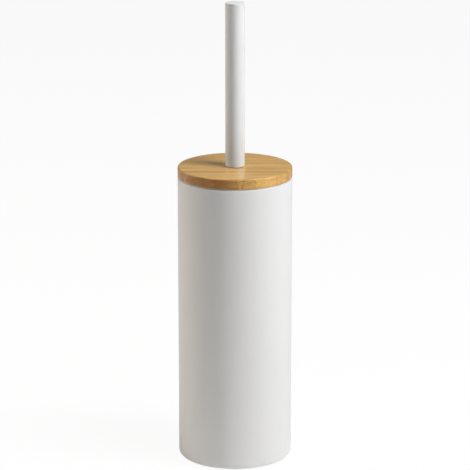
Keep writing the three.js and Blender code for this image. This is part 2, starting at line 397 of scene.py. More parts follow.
def drift_group():
    """Tone Drift: a colour and a roughness that both drift a little over the surface."""
    sockets = [
        ("Vector", "Vector"), ("Color", "Color"), ("Float", "Size", 30 * MM), ("Float", "Amount", 0.03),
        ("Float", "Roughness", 0.5), ("Float", "Smudge", 0.1),
    ]
    tree, given, result = new_group("Tone Drift", sockets, [("Color", "Color"), ("Float", "Roughness")])
    spacing = calculate(tree, "DIVIDE", 1.0, given["Size"])
    cloud = noise(tree, scaled(tree, given["Vector"], spacing), detail=4.0, roughness=0.6)
    centred = calculate(tree, "SUBTRACT", cloud, 0.5)
    gain = calculate(tree, "MULTIPLY_ADD", centred, given["Amount"], 1.0)
    drifted = scaled(tree, given["Color"], gain)
    change = calculate(tree, "MULTIPLY", centred, given["Smudge"])
    smudged = calculate(tree, "ADD", given["Roughness"], change)
    connect(tree, result, Color=drifted, Roughness=smudged)
    return tree


def lathe_group():
    """Lathe Marks: fine rings round the Z axis, as a normal and as a mask."""
    sockets = [("Vector", "Vector"), ("Float", "Line", 0.15 * MM), ("Float", "Depth", 0.0004 * MM)]
    tree, given, result = new_group("Lathe Marks", sockets, [("Vector", "Normal"), ("Float", "Mask")])
    x, y, z = add_node(tree, "ShaderNodeSeparateXYZ", {0: given["Vector"]}).outputs
    squares = [calculate(tree, "POWER", side, 2.0) for side in (x, y)]
    radius = calculate(tree, "SQRT", calculate(tree, "ADD", *squares))
    changes_per_metre = 60.0
    along = calculate(tree, "DIVIDE", calculate(tree, "ADD", z, radius), given["Line"])
    across = calculate(tree, "MULTIPLY", x, changes_per_metre)
    lines = noise(tree, combined(tree, along, across), detail=3.0)
    connect(tree, result, Normal=bumped(tree, lines, given["Depth"]), Mask=lines)
    return tree


def use_group(tree, name, builder, **inputs):
    """Places the node group of that name, which is built once."""
    group = bpy.data.node_groups.get(name) or builder()
    return add_node(tree, "ShaderNodeGroup", inputs, node_tree=group).outputs


def new_material(name, **sockets):
    """A material with a Principled shader. sockets are numbers set on the shader's own inputs.
    Returns the material, its tree, its shader's inputs and the object coordinates."""
    material = bpy.data.materials.new(name)
    material.use_nodes = True
    tree = material.node_tree
    shader = tree.nodes["Principled BSDF"].inputs
    for socket_name, value in sockets.items():
        shader[socket_name.replace("_", " ")].default_value = value
    return material, tree, shader, add_node(tree, "ShaderNodeTexCoord").outputs["Object"]


def plain_finish(name, color, roughness, relief, depth, drift=0.03, smudge=0.1, **sockets):
    """A moulded or coated finish: one colour that drifts slightly, over soft lumps of the size relief."""
    material, tree, shader, place = new_material(name, **sockets)
    tone = use_group(tree, "Tone Drift", drift_group, Vector=place, Color=opaque(color),
                     Amount=drift, Roughness=roughness, Smudge=smudge)
    lumps = use_group(tree, "Fine Relief", relief_group, Vector=place, Size=relief, Depth=depth)
    connect(tree, shader, Base_Color=tone["Color"], Roughness=tone["Roughness"], Normal=lumps["Normal"])
    return material


def turned_metal(name, color, roughness):
    """A metal with the fine rings that a lathe or a polishing belt leaves."""
    material, tree, shader, place = new_material(name, Metallic=1.0)
    marks = use_group(tree, "Lathe Marks", lathe_group, Vector=place)
    tone = use_group(tree, "Tone Drift", drift_group, Vector=place, Color=opaque(color), Size=12 * MM,
                     Amount=0.12, Roughness=roughness, Smudge=0.16)
    swing = 0.12
    uneven = calculate(tree, "MULTIPLY_ADD", marks["Mask"], swing, tone["Roughness"])
    uneven = calculate(tree, "SUBTRACT", uneven, swing / 2)
    connect(tree, shader, Base_Color=tone["Color"], Roughness=uneven, Normal=marks["Normal"])
    return material


# ---------------------------------------------------------------------------- Finishes


def powder_coat():
    """Satin white powder coat, with the shallow orange peel that it cures to."""
    color = bpy.context.scene.canister.white
    return plain_finish("white_powder_coat", color, 0.47, 1.1 * MM, 0.012 * MM, drift=0.02, smudge=0.12)


def liner_plastic():
    """Milky moulded plastic of the liner and the handle's sleeve."""
    return plain_finish("milky_plastic", (0.78, 0.79, 0.79), 0.38, 0.6 * MM, 0.006 * MM, smudge=0.14,
                        Subsurface_Weight=0.15, Subsurface_Scale=2 * MM)


def core_plastic():
    """Bright white moulded plastic of the brush's core."""
    return plain_finish("white_plastic", (0.82, 0.83, 0.82), 0.3, 0.8 * MM, 0.006 * MM, smudge=0.12)


def silicone():
    """Pale grey silicone of the seals."""
    return plain_finish("pale_silicone", (0.62, 0.63, 0.63), 0.55, 0.3 * MM, 0.008 * MM,
                        Subsurface_Weight=0.2, Subsurface_Scale=1 * MM)


def pad_rubber():
    """Dark grey rubber of the foot pad, with a coarse matt grain."""
    return plain_finish("dark_rubber", (0.055, 0.056, 0.06), 0.82, 0.45 * MM, 0.06 * MM, drift=0.3)


def satin_steel():
    """Satin stainless steel of the stem and its fasteners."""
    return turned_metal("satin_steel", (0.6, 0.61, 0.62), 0.27)


def bright_brass():
    """Brass of the threaded insert."""
    return turned_metal("bright_brass", (0.75, 0.55, 0.24), 0.3)


def bristle_nylon():
    """White bristles. Each has its own tone, and all are a little greyer near the core, a painted shade
    where they crowd at their roots.
    """
    material, tree, shader, _ = new_material(
        "white_bristle", Roughness=0.42, Subsurface_Weight=0.12, Subsurface_Scale=1 * MM)
    tone = add_node(tree, "ShaderNodeAttribute", attribute_name="tone").outputs["Fac"]
    along = add_node(tree, "ShaderNodeAttribute", attribute_name="along").outputs["Fac"]
    white = blend(tree, tone, (0.8, 0.81, 0.81, 1), (0.93, 0.94, 0.94, 1))
    # painted shade: each bristle is greyer towards its root at the core
    painted_root_shade = remap(tree, along, 0.0, 0.5, 0.82, 1.0)
    connect(tree, shader, Base_Color=scaled(tree, white, painted_root_shade))
    return material


def lacquered_bamboo():
    """Laminated bamboo under a satin lacquer.

    Strips lie along X, side by side in Y, each with its own tone and its own run of fibre. Fibre
    is noise drawn out along X, so that the top and the front show streaks and the ends show dots.
    Bundles of dark fibre are cells drawn out the same way. Some strips hold a joint of the cane:
    a pale band with a dark line on each side. Glue lines are dark and slightly sunk. The sawn rim
    has a deeper colour, and a painted shade on it is darkest half-way towards -X.
    """
    lid = bpy.context.scene.lid
    rim_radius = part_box("lid_disc")[1].x
    material, tree, shader, place = new_material(
        "lacquered_bamboo", Coat_Weight=0.45, Coat_Roughness=0.26)
    calc, ramp, mix = (functools.partial(step, tree) for step in (calculate, remap, blend))
    x, y, z = add_node(tree, "ShaderNodeSeparateXYZ", {0: place}).outputs
    strips = calc("ADD", calc("DIVIDE", y, lid.strip), STRIP_SHIFT)
    index = calc("FLOOR", strips)
    across = calc("FRACT", strips)
    shift = random_of(tree, index, 3.7)

    def drawn_out(length, width, seed):
        """Coordinates with one unit per length along X and per width across, shifted for each strip."""
        along = calc("MULTIPLY_ADD", shift, seed, calc("DIVIDE", x, length))
        return combined(tree, along, calc("DIVIDE", y, width), calc("DIVIDE", z, width))

    streaks = noise(tree, drawn_out(26 * MM, 0.42 * MM, 71.0), detail=3.0, roughness=0.6)
    clouds = noise(tree, drawn_out(60 * MM, 3.2 * MM, 37.0), detail=2.0)
    cells = add_node(tree, "ShaderNodeTexVoronoi", {
        "Vector": drawn_out(24 * MM, 0.9 * MM, 53.0), "Scale": 1.0, "Randomness": 0.9})
    bundles = ramp(cells.outputs["Distance"], 0.12, 0.34, 1.0, 0.0)
    front_index = math.floor((0.3 * MM - rim_radius) / lid.strip + STRIP_SHIFT)
    in_front = calc("COMPARE", index, float(front_index), 0.5)
    far = calc("MULTIPLY_ADD", random_of(tree, index, 9.1), 0.9, -0.45)
    from_far = calc("SUBTRACT", lid.front_joint, far)
    joint_place = calc("MULTIPLY_ADD", in_front, from_far, far)
    warp = noise(tree, scaled(tree, place, (160.0, 160.0, 160.0)), detail=1.5)
    wander = calc("MULTIPLY", calc("SUBTRACT", warp, 0.5), 14 * MM)
    from_joint = calc("ABSOLUTE", calc("ADD", calc("SUBTRACT", x, joint_place), wander))
    joint_band = ramp(from_joint, 1.2 * MM, 2.6 * MM, 1.0, 0.0)
    joint_line = calc(
        "MULTIPLY", ramp(from_joint, 1.6 * MM, 2.1 * MM), ramp(from_joint, 2.3 * MM, 3.6 * MM, 1.0, 0.0))
    from_middle = calc("ABSOLUTE", calc("SUBTRACT", across, 0.5))
    glue = ramp(from_middle, 0.478, 0.496)

    strip_tone = random_of(tree, index, 21.3)
    fibre = calc("ADD", calc("MULTIPLY", streaks, 0.75), calc("MULTIPLY", clouds, 0.35))
    depth = calc("ADD", ramp(fibre, 0.38, 0.78, 0.0, 0.62), calc("MULTIPLY", strip_tone, 0.26))
    depth = calc("MULTIPLY_ADD", bundles, 0.22, depth)
    depth = calc("MULTIPLY_ADD", joint_line, 0.3, depth)
    depth = calc("MULTIPLY_ADD", joint_band, -0.12, depth, clamp=True)
    flat = {0: combined(tree, x, y)}
    radius = add_node(tree, "ShaderNodeVectorMath", flat, operation="LENGTH").outputs["Value"]
    on_rim = ramp(radius, rim_radius - 0.9 * MM, rim_radius - 0.2 * MM)
    end_grain = calc("MULTIPLY", on_rim, calc("POWER", calc("DIVIDE", x, rim_radius), 4.0))
    depth = calc("MULTIPLY_ADD", end_grain, 0.2, depth)
    # painted shade on the sawn rim, darkest half-way towards -X
    rim_painted_shade = ramp(x, -0.4 * rim_radius, 0.35 * rim_radius, 0.62, 0.0)
    rim_painted_shade = calc("MULTIPLY", rim_painted_shade, ramp(x, -rim_radius, -0.6 * rim_radius, 0.4, 1.0))
    depth = calc("MULTIPLY_ADD", on_rim, rim_painted_shade, depth, clamp=True)

    glue_color, rim_filter = (0.2, 0.085, 0.025, 1), (1.0, 0.95, 0.8, 1)
    thrown_color = (0.4, 0.37, 0.34, 1)  # greyer, for the light thrown on what stands near
    color = mix(depth, opaque(lid.pale), opaque(lid.dark))
    color = mix(calc("MULTIPLY", glue, 0.45), color, glue_color)
    color = mix(on_rim, color, rim_filter, mode="MULTIPLY")
    bounced = add_node(tree, "ShaderNodeLightPath").outputs["Is Diffuse Ray"]
    color = mix(calc("MULTIPLY", bounced, 0.6), color, thrown_color)
    height = calc("MULTIPLY_ADD", glue, -1.4, calc("MULTIPLY", fibre, -0.6))
    relief = bumped(tree, height, 0.02 * MM)
    connect(tree, shader, Base_Color=color, Roughness=ramp(fibre, 0.3, 0.9, 0.33, 0.46), Normal=relief)
    return material


FINISHES = {
    "white_paint": powder_coat,
    "bamboo": lacquered_bamboo,
    "foot_pad": pad_rubber,
    "liner_plastic": liner_plastic,
    "silicone": silicone,
    "steel": satin_steel,
    "brass": bright_brass,
    "head_plastic": core_plastic,
    "bristle": bristle_nylon,
}
made_finishes = {}


def finish_for(slot):
    """The material of a slot, built the first time that it is asked for."""
    if slot not in made_finishes:
        made_finishes[slot] = FINISHES[slot]()
    return made_finishes[slot]


def stand_for(node, name, surface):
    """Makes a surface into the piece that stands for one solid part, on that part's body."""
    slot = next(part["material_slot"] for part in frame["record"]["subparts"] if part["node"] == node)
    body = next(b for b, nodes in frame["record"]["behaviour"]["bodies"].items() if node in nodes)
    return add_piece(name, surface, finish_for(slot), body, [node])


def stand_turned(node, name, corners, sides, longest, steps=6, shape=None):
    """Makes a rounded outline, turned about Z, into the piece that stands for one solid part."""
    stand_for(node, name, turned(divided(rounded(corners, steps), longest), sides, shape))


def stand_ring(node, name, inner, edge, sides=96, longest=MM, shape=None):
    """Makes the ring that fills a round part's box, but for its hole, into that part's piece."""
    outer, low, high = span(node)
    corners = [(inner, low, edge), (outer, low, edge), (outer, high, edge), (inner, high, edge)]
    stand_turned(node, name, corners, sides, longest, shape=shape)


# ---------------------------------------------------------------------------- Pieces


class HOLDER_OT_canister(bpy.types.Operator):
    """Build the powder-coated steel tube with its folded rim and its turned-in foot"""

    bl_idname = "holder.canister"
    bl_label = "Canister"

    def execute(self, context):
        """The outline goes up the outside, over the folded rim and down the inside."""
        sizes = context.scene.canister
        radius, low, high = span("outer_shell")
        sheet, opening, bend = sizes.sheet, sizes.foot_opening, sizes.foot_round
        inside, hem_low = radius - sheet, high - sizes.hem_depth
        corners = [
            (opening, low, 0.3 * MM),
            (radius, low, bend),
            (radius, high, 0.7 * MM),
            (inside - sheet, high, 0.7 * MM),
            (inside - sheet, hem_low, 0.3 * MM),
            (inside, hem_low - sheet, 0.4 * MM),
            (inside, low + sheet, bend - sheet),
            (opening, low + sheet, 0.3 * MM),
        ]
        stand_turned("outer_shell", "canister_shell", corners, 256, 6 * MM, 9)
        return {"FINISHED"}


class HOLDER_OT_base(bpy.types.Operator):
    """Build the pressed base disc and the rubber pad that the canister stands on"""

    bl_idname = "holder.base"
    bl_label = "Base and Pad"

    def execute(self, context):
        """The disc has a pressed bead: its heights rise by a cosine hump across the bead's width.
        The pad's underside has round grooves, each a cosine dip that never reaches its edge."""
        sheet = context.scene.canister.sheet
        radius, low, high = span("base_disc")
        bend = 2.2 * MM
        corners = [
            (0, low, 0),
            (radius, low, bend),
            (radius, high, 0.3 * MM),
            (radius - sheet, high, 0.3 * MM),
            (radius - sheet, low + sheet, bend - sheet),
            (0, low + sheet, 0),
        ]
        outline = divided(rounded(corners), 0.5 * MM)
        bead_radius, bead_half, bead_rise = 0.66 * radius, 3 * MM, 1.1 * MM
        away = np.clip(np.abs(outline[:, 0] - bead_radius) / bead_half, 0, 1)
        outline[:, 1] += bead_rise * (1 + np.cos(np.pi * away)) / 2
        stand_for("base_disc", "canister_base", turned(outline, 192))

        radius, low, high = span("anti_slip_pad")
        corners = [(0, low, 0), (radius, low, 0.5 * MM), (radius, high, 0.4 * MM), (0, high, 0)]
        outline = divided(rounded(corners), 0.4 * MM)
        groove_pitch, groove_depth, plain_edge = 5 * MM, 0.4 * MM, 3 * MM
        wave = np.cos(2 * np.pi * outline[:, 0] / groove_pitch)
        inside = outline[:, 0] < radius - plain_edge
        underside = outline[:, 1] < low + 0.1 * MM
        outline[:, 1] += groove_depth * smooth((wave - 0.3) / 0.5) * inside * underside
        stand_for("anti_slip_pad", "foot_pad", turned(outline, 192))
        return {"FINISHED"}


class HOLDER_OT_liner(bpy.types.Operator):
    """Build the milky cup that hangs in the canister by its flange"""

    bl_idname = "holder.liner"
    bl_label = "Liner"

    def execute(self, context):
        """The wall tapers, the floor's corner is round, and the gate is a low nub under the floor."""
        sizes = context.scene.canister
        radius, low, high = span("inner_liner")
        wall, mouth, floor = sizes.liner_wall, sizes.liner_mouth, sizes.liner_floor
        flange, corner, gate, gate_drop = 0.6 * MM, 5 * MM, 1.2 * MM, 0.3 * MM
        corners = [
            (0, low - gate_drop, 0),
            (gate, low - gate_drop, 0.15 * MM),
            (gate, low, 0.1 * MM),
            (floor, low, corner),
            (mouth, high - flange, 0.2 * MM),
            (radius, high - flange, 0.25 * MM),
            (radius, high, 0.25 * MM),
            (mouth - wall, high, 0.6 * MM),
            (floor - wall, low + wall, corner - wall),
            (0, low + wall, 0),
        ]
        stand_turned("inner_liner", "liner_cup", corners, 256, 5 * MM, 9)
        return {"FINISHED"}


class HOLDER_OT_lid(bpy.types.Operator):
    """Build the bamboo lid with its spigot and the groove for its seal ring"""

    bl_idname = "holder.lid"
    bl_label = "Bamboo Lid"

    def execute(self, context):
        """The outline goes from the bore along the spigot, out to the rim, and back over the top."""
        lid = context.scene.lid
        radius, low, high = span("lid_disc")
        spigot, step = lid.spigot_radius, low + lid.spigot_depth
        middle, half_groove = (low + step) / 2, 1.3 * MM
        groove_low, groove_high = middle - half_groove, middle + half_groove
        groove_radius = spigot - 1.2 * MM
        corners = [
            (lid.bore, low, 0.3 * MM),
            (spigot, low, 0.8 * MM),
            (spigot, groove_low, 0.15 * MM),
            (groove_radius, groove_low, 0.15 * MM),
            (groove_radius, groove_high, 0.15 * MM),
            (spigot, groove_high, 0.15 * MM),
            (spigot, step, 0.2 * MM),
            (radius, step, 0.6 * MM),
            (radius, high, lid.top_round),
            (lid.bore, high, 0.2 * MM),
        ]
        stand_turned("lid_disc", "bamboo_lid", corners, 288, 2 * MM, 9)
        return {"FINISHED"}


class HOLDER_OT_seals(bpy.types.Operator):
    """Build the lid's seal ring, the handle's gasket and the head's washer"""

    bl_idname = "holder.seals"
    bl_label = "Seals"

    def execute(self, context):
        """The lid's ring has a soft lip half-way up, and the other two are flat rings."""
        groove = context.scene.lid.spigot_radius - 1.1 * MM
        radius, low, high = span("lid_seal_ring")
        middle = (low + high) / 2
        corners = [
            (groove, low, 0.2 * MM),
            (radius - 0.7 * MM, low, 0.3 * MM),
            (radius - 0.5 * MM, middle - 0.55 * MM, 0.3 * MM),
            (radius, middle, 0.25 * MM),
            (radius - 0.5 * MM, middle + 0.55 * MM, 0.3 * MM),
            (radius - 0.7 * MM, high, 0.3 * MM),
            (groove, high, 0.2 * MM),
        ]
        stand_for("lid_seal_ring", "lid_seal", turned(rounded(corners), 256))
        stand_ring("handle_gasket", "lid_gasket", context.scene.lid.bore, 0.15 * MM)
        stand_ring("head_seal_ring", "head_washer", 3.2 * MM, 0.6 * MM)
        return {"FINISHED"}


class HOLDER_OT_fasteners(bpy.types.Operator):
    """Build the washer and the hexagon nut that clamp the lid"""

    bl_idname = "holder.fasteners"
    bl_label = "Washer and Nut"

    def execute(self, context):
        """A flat of the nut is at apothem / cos(angle to the flat's middle) from the axis. Towards
        both faces the radius is also kept under a cone of 30 degrees, which chamfers the corners.
        The bore follows the stem's thread."""
        bore, pitch = context.scene.lid.bore, context.scene.brush.stem_pitch
        stand_ring("clamp_washer", "lid_washer", bore, 0.3 * MM)

        _, low, high = span("clamp_nut")
        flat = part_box("clamp_nut")[1].y
        face_radius, thread_root, beyond = flat * 0.94, 4.05 * MM, flat * 1.2
        slope, sixth, mouth_depth = math.tan(math.radians(30)), math.pi / 3, 0.9 * MM

        def nut_shape(radius, height, angle):
            to_flat = (angle % sixth) - sixth / 2
            from_face = np.minimum(height - low, high - height)
            outside = np.minimum(flat / np.cos(to_flat), face_radius + from_face / slope)
            mouth = smooth(from_face / mouth_depth)
            ridge = thread_ridge(height, angle, pitch) * mouth + (1 - mouth)
            inside = thread_root - STEM_CUT * (1 - ridge)
            on_bore = np.where(radius < bore * 1.01, inside, radius)
            return np.where(radius > face_radius * 1.01, outside, on_bore)

        rise = np.arange(low, high, 0.12 * MM)
        wall = np.column_stack([np.full(len(rise), beyond), rise])
        thread = np.column_stack([np.full(len(rise), bore), rise[::-1]])
        upper_face = [[beyond, high], [face_radius, high], [bore, high]]
        outline = np.vstack([[face_radius, low], wall, upper_face, thread])
        stand_for("clamp_nut", "lid_nut", turned(outline, 288, nut_shape))
        return {"FINISHED"}


class HOLDER_OT_handle(bpy.types.Operator):
    """Build the handle's tube, its top cap and the sleeve in its foot"""

    bl_idname = "holder.handle"
    bl_label = "Handle"

    def execute(self, context):
        """The tube and the cap are turned, the cap slightly crowned. The sleeve has eight low ribs that
        bite into the tube: its radius rises by a narrow hump eight times round."""
        bore = context.scene.lid.bore
        radius, _, tube_high = span("handle_tube")
        tube_bore = radius - context.scene.brush.tube_wall
        stand_ring("handle_tube", "handle_pipe", tube_bore, 0.42 * MM, 160, 4 * MM)

        cap_radius, cap_low, cap_high = span("handle_top_cap")
        shank, seam = tube_bore - 0.1 * MM, tube_high + 0.05 * MM
        corners = [
            (0, cap_low, 0),
            (shank, cap_low, 0.7 * MM),
            (shank, seam, 0.1 * MM),
            (cap_radius, seam, 0.3 * MM),
            (cap_radius, cap_high - 0.5 * MM, 0.6 * MM),
            (0.5 * cap_radius, cap_high - 0.06 * MM, 20 * MM),
            (0, cap_high, 0),
        ]
        stand_turned("handle_top_cap", "handle_cap", corners, 160, MM, 8)

        sleeve_radius, ribs, rib_rise = span("handle_end_plug")[0], 8, 0.25 * MM

        def ribbed(radius_grid, height, angle):
            hump = np.clip(np.cos(ribs * angle), 0, 1) ** 8
            outside = sleeve_radius - rib_rise + rib_rise * hump
            return np.where(radius_grid > sleeve_radius - ON_WALL, outside, radius_grid)

        stand_ring("handle_end_plug", "handle_sleeve", bore, 0.4 * MM, 192, shape=ribbed)
        return {"FINISHED"}


class HOLDER_OT_stem(bpy.types.Operator):
    """Build the steel stem with its threads"""

    bl_idname = "holder.stem"
    bl_label = "Stem"

    def execute(self, context):
        """A thread takes its groove depth from the radius wherever its ridge is low, between the
        heights where it is cut. The plain wall between the two threads keeps one row in 24."""
        brush = context.scene.brush
        radius, low, high = span("stem_rod")
        stud_length, thread_below_nut, upper_wall = 12 * MM, 7 * MM, 3.9 * MM
        shoulder = low + stud_length
        thread_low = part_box("clamp_nut")[0].z - thread_below_nut

        def threads(radius_grid, height, angle):
            upper = window(height, thread_low, high - 2 * MM, 1.2 * MM) * (radius_grid > upper_wall)
            lower = window(height, low + 1.2 * MM, shoulder - 2.2 * MM, 0.8 * MM)
            lower = lower * (np.abs(radius_grid - STUD_RADIUS) < 0.05 * MM)
            upper_cut = STEM_CUT * upper * (1 - thread_ridge(height, angle, brush.stem_pitch))
            return radius_grid - upper_cut - STUD_CUT * lower * (
                1 - thread_ridge(height, angle, brush.stud_pitch))

        corners = [
            (0, low, 0),
            (STUD_RADIUS, low, 0.5 * MM),
            (STUD_RADIUS, shoulder, 0.1 * MM),
            (radius, shoulder, 0.3 * MM),
            (radius, high, 0.8 * MM),
            (0, high, 0),
        ]
        outline = rounded(corners)
        long_wall = (outline[:, 0] > radius - TINY) & (outline[:, 1] < thread_low)
        plain_high = thread_low - 2 * MM
        extra = np.array([[radius, plain_high]])
        outline = np.insert(outline, np.flatnonzero(long_wall)[-1] + 1, extra, axis=0)
        fine = divided(outline, 0.16 * MM)
        between = (fine[:, 1] > shoulder + MM) & (fine[:, 1] < plain_high)
        plain = between & (fine[:, 0] > radius - TINY)
        plain_step = 24
        kept = ~plain | (np.arange(len(fine)) % plain_step == 0)
        stand_for("stem_rod", "steel_stem", turned(fine[kept], 64, threads))
        return {"FINISHED"}


class HOLDER_OT_core(bpy.types.Operator):
    """Build the brush's moulded core and its threaded brass insert"""

    bl_idname = "holder.core"
    bl_label = "Brush Core"

    def execute(self, context):
        """The core has a low boss round each tuft and flutes round its neck. The insert's outside is
        knurled: two sets of slanting ridges cross, and the lower of them counts."""
        brush = context.scene.brush
        radius, low, high = span("head_insert")
        bore, knurls, knurl_depth, knurl_pitch = 3.05 * MM, 28, 0.3 * MM, 1.1 * MM

        def insert_shape(radius_grid, height, angle):
            turn, lift = knurls * angle, 2 * np.pi * (height - low) / knurl_pitch
            ridges = np.minimum(1 + np.cos(turn + lift), 1 + np.cos(turn - lift)) / 2
            outside = radius - knurl_depth * (1 - ridges)
            mouth = smooth((high - height) / (1.2 * MM))
            ridge = thread_ridge(height, angle, brush.stud_pitch) * mouth + (1 - mouth)
            on_bore = np.where(radius_grid < bore + ON_WALL, bore - STUD_CUT * (1 - ridge), radius_grid)
            between = (height > low + 0.4 * MM) & (height < high - 1.2 * MM)
            return np.where(between & (radius_grid > radius - ON_WALL), outside, on_bore)

        stand_ring(
            "head_insert", "brass_insert", bore, 0.25 * MM, 168, 0.14 * MM, insert_shape)

        collar_radius, core_low, core_high = span("head_core")
        neck_radius, insert_bore = 8.5 * MM, radius + 0.1 * MM
        neck_length, collar_thickness = 18 * MM, 2.4 * MM
        collar_low = core_high - neck_length
        collar_high = collar_low + collar_thickness
        corners = [
            (0, core_low, 0),
            (CORE_RADIUS, core_low, DOME_ROUND),
            (CORE_RADIUS, collar_low, 0.6 * MM),
            (collar_radius, collar_low, 0.9 * MM),
            (collar_radius, collar_high, 0.9 * MM),
            (neck_radius + 2 * MM, collar_high + 4 * MM, 3 * MM),
            (neck_radius, core_high, 0.8 * MM),
            (insert_bore, core_high, 0.3 * MM),
            (insert_bore, low - 0.05 * MM, 0),
            (0, low - 0.05 * MM, 0),
        ]
        row_heights = np.array([sum(span(node)[1:]) / 2 for node in row_nodes()])
        tuft_angle = 2 * np.pi / brush.tufts
        boss_radius, boss_rise, flutes_round, flute_depth = 2.5 * MM, 0.35 * MM, 12, 0.45 * MM

        def core_shape(radius_grid, height, angle):
            row = np.abs(height - row_heights[None, :]).argmin(1)[:, None]
            shifted = angle + tuft_angle / 2 * (row % 2)
            around = CORE_RADIUS * (((shifted / tuft_angle + 0.5) % 1) - 0.5) * tuft_angle
            away = np.hypot(around, height - row_heights[row])
            boss = boss_rise * smooth((boss_radius - away) / (0.6 * MM))
            flutes = flute_depth * smooth(np.cos(flutes_round * angle) / 0.9)
            on_wall = np.abs(radius_grid - CORE_RADIUS) < 0.01 * MM
            neck = window(height, collar_high + 6 * MM, core_high - 3 * MM, 1.5 * MM)
            outside = radius_grid > insert_bore + MM
            return radius_grid + boss * on_wall - flutes * neck * outside

        stand_turned("head_core", "brush_core", corners, 240, 0.5 * MM, 10, core_shape)
        return {"FINISHED"}


def row_nodes():
    """The solid rings of the rows of bristles, from the lowest up."""
    return sorted(node for node in frame["nodes"] if node.startswith("bristle_row_"))


def strands(roots, tips, sideways, rng):
    """Bristles as thin four-sided rods along curved paths.

    A path is the straight line from root to tip. To it come a random bend that grows with the
    square of the share along it, and sideways a random lean that grows the same way and a wave of
    random phase that grows with the share. The section is a ring of four points round the path,
    across the direction of travel, and it narrows by a fifth over the last quarter.
    Returns the surface, each point's share along its bristle, and each point's random tone.
    """
    brush = bpy.context.scene.brush
    stations, ring, waves = 7, 4, 2.2
    count = len(roots)
    share = np.linspace(0, 1, stations)[None, :, None]
    straight = roots[:, None] * (1 - share) + tips[:, None] * share
    bend = rng.normal(0, 1, (count, 1, 3)) * 0.35 * MM
    wave = np.sin(2 * np.pi * (waves * share + rng.random((count, 1, 1)))) * brush.crimp * share
    lean = rng.normal(0, 1, (count, 1, 1)) * 0.25 * MM
    path = straight + bend * share * share + sideways[:, None] * (wave + lean * share)
    travel = direction(np.gradient(path, axis=1))
    first = direction(sideways[:, None] - travel * (sideways[:, None] * travel).sum(-1, keepdims=True))
    second = np.cross(travel, first)
    taper = 1 - 0.2 * smooth(4 * share - 3)
    turn = np.arange(ring) * 2 * np.pi / ring
    section = first[:, :, None] * np.cos(turn)[:, None] + second[:, :, None] * np.sin(turn)[:, None]
    points = path[:, :, None] + brush.strand_radius * taper[..., None] * section
    offset = (np.arange(count) * stations * ring)[:, None, None]
    quads = (grid_faces(stations, ring, loop=False)[None] + offset).reshape(-1, 4)
    root_cap = np.array([[3, 2, 1, 0]])[None] + offset
    tip_cap = np.array([[0, 1, 2, 3]])[None] + offset + (stations - 1) * ring
    quads = np.vstack([quads, root_cap.reshape(-1, 4), tip_cap.reshape(-1, 4)])
    along = np.broadcast_to(share[..., None], (count, stations, ring, 1)).ravel()
    tone = np.repeat(rng.random(count), stations * ring)
    return (points.reshape(-1, 3), quads, np.empty((0, 3), int)), along, tone


def add_bristles(node, name, roots, tips, sideways, rng):
    """Makes bristles into the piece that stands for their solid, with their tone as attributes."""
    surface, along, tone = strands(roots, tips, sideways, rng)
    piece = stand_for(node, name, surface)
    for attribute_name, values in (("along", along), ("tone", tone)):
        attribute = piece.data.attributes.new(attribute_name, "FLOAT", "POINT")
        attribute.data.foreach_set("value", values.astype(np.float32))


def square_and_disc(count, rng):
    """Random places in a square from -1 to 1, and the same places drawn into a disc of radius 1.

    A square's place goes to the disc along its own direction, at the larger of its two sizes.
    """
    square = rng.uniform(-1, 1, (count, 2))
    reach = np.abs(square).max(1, keepdims=True)
    return square, direction(square) * reach


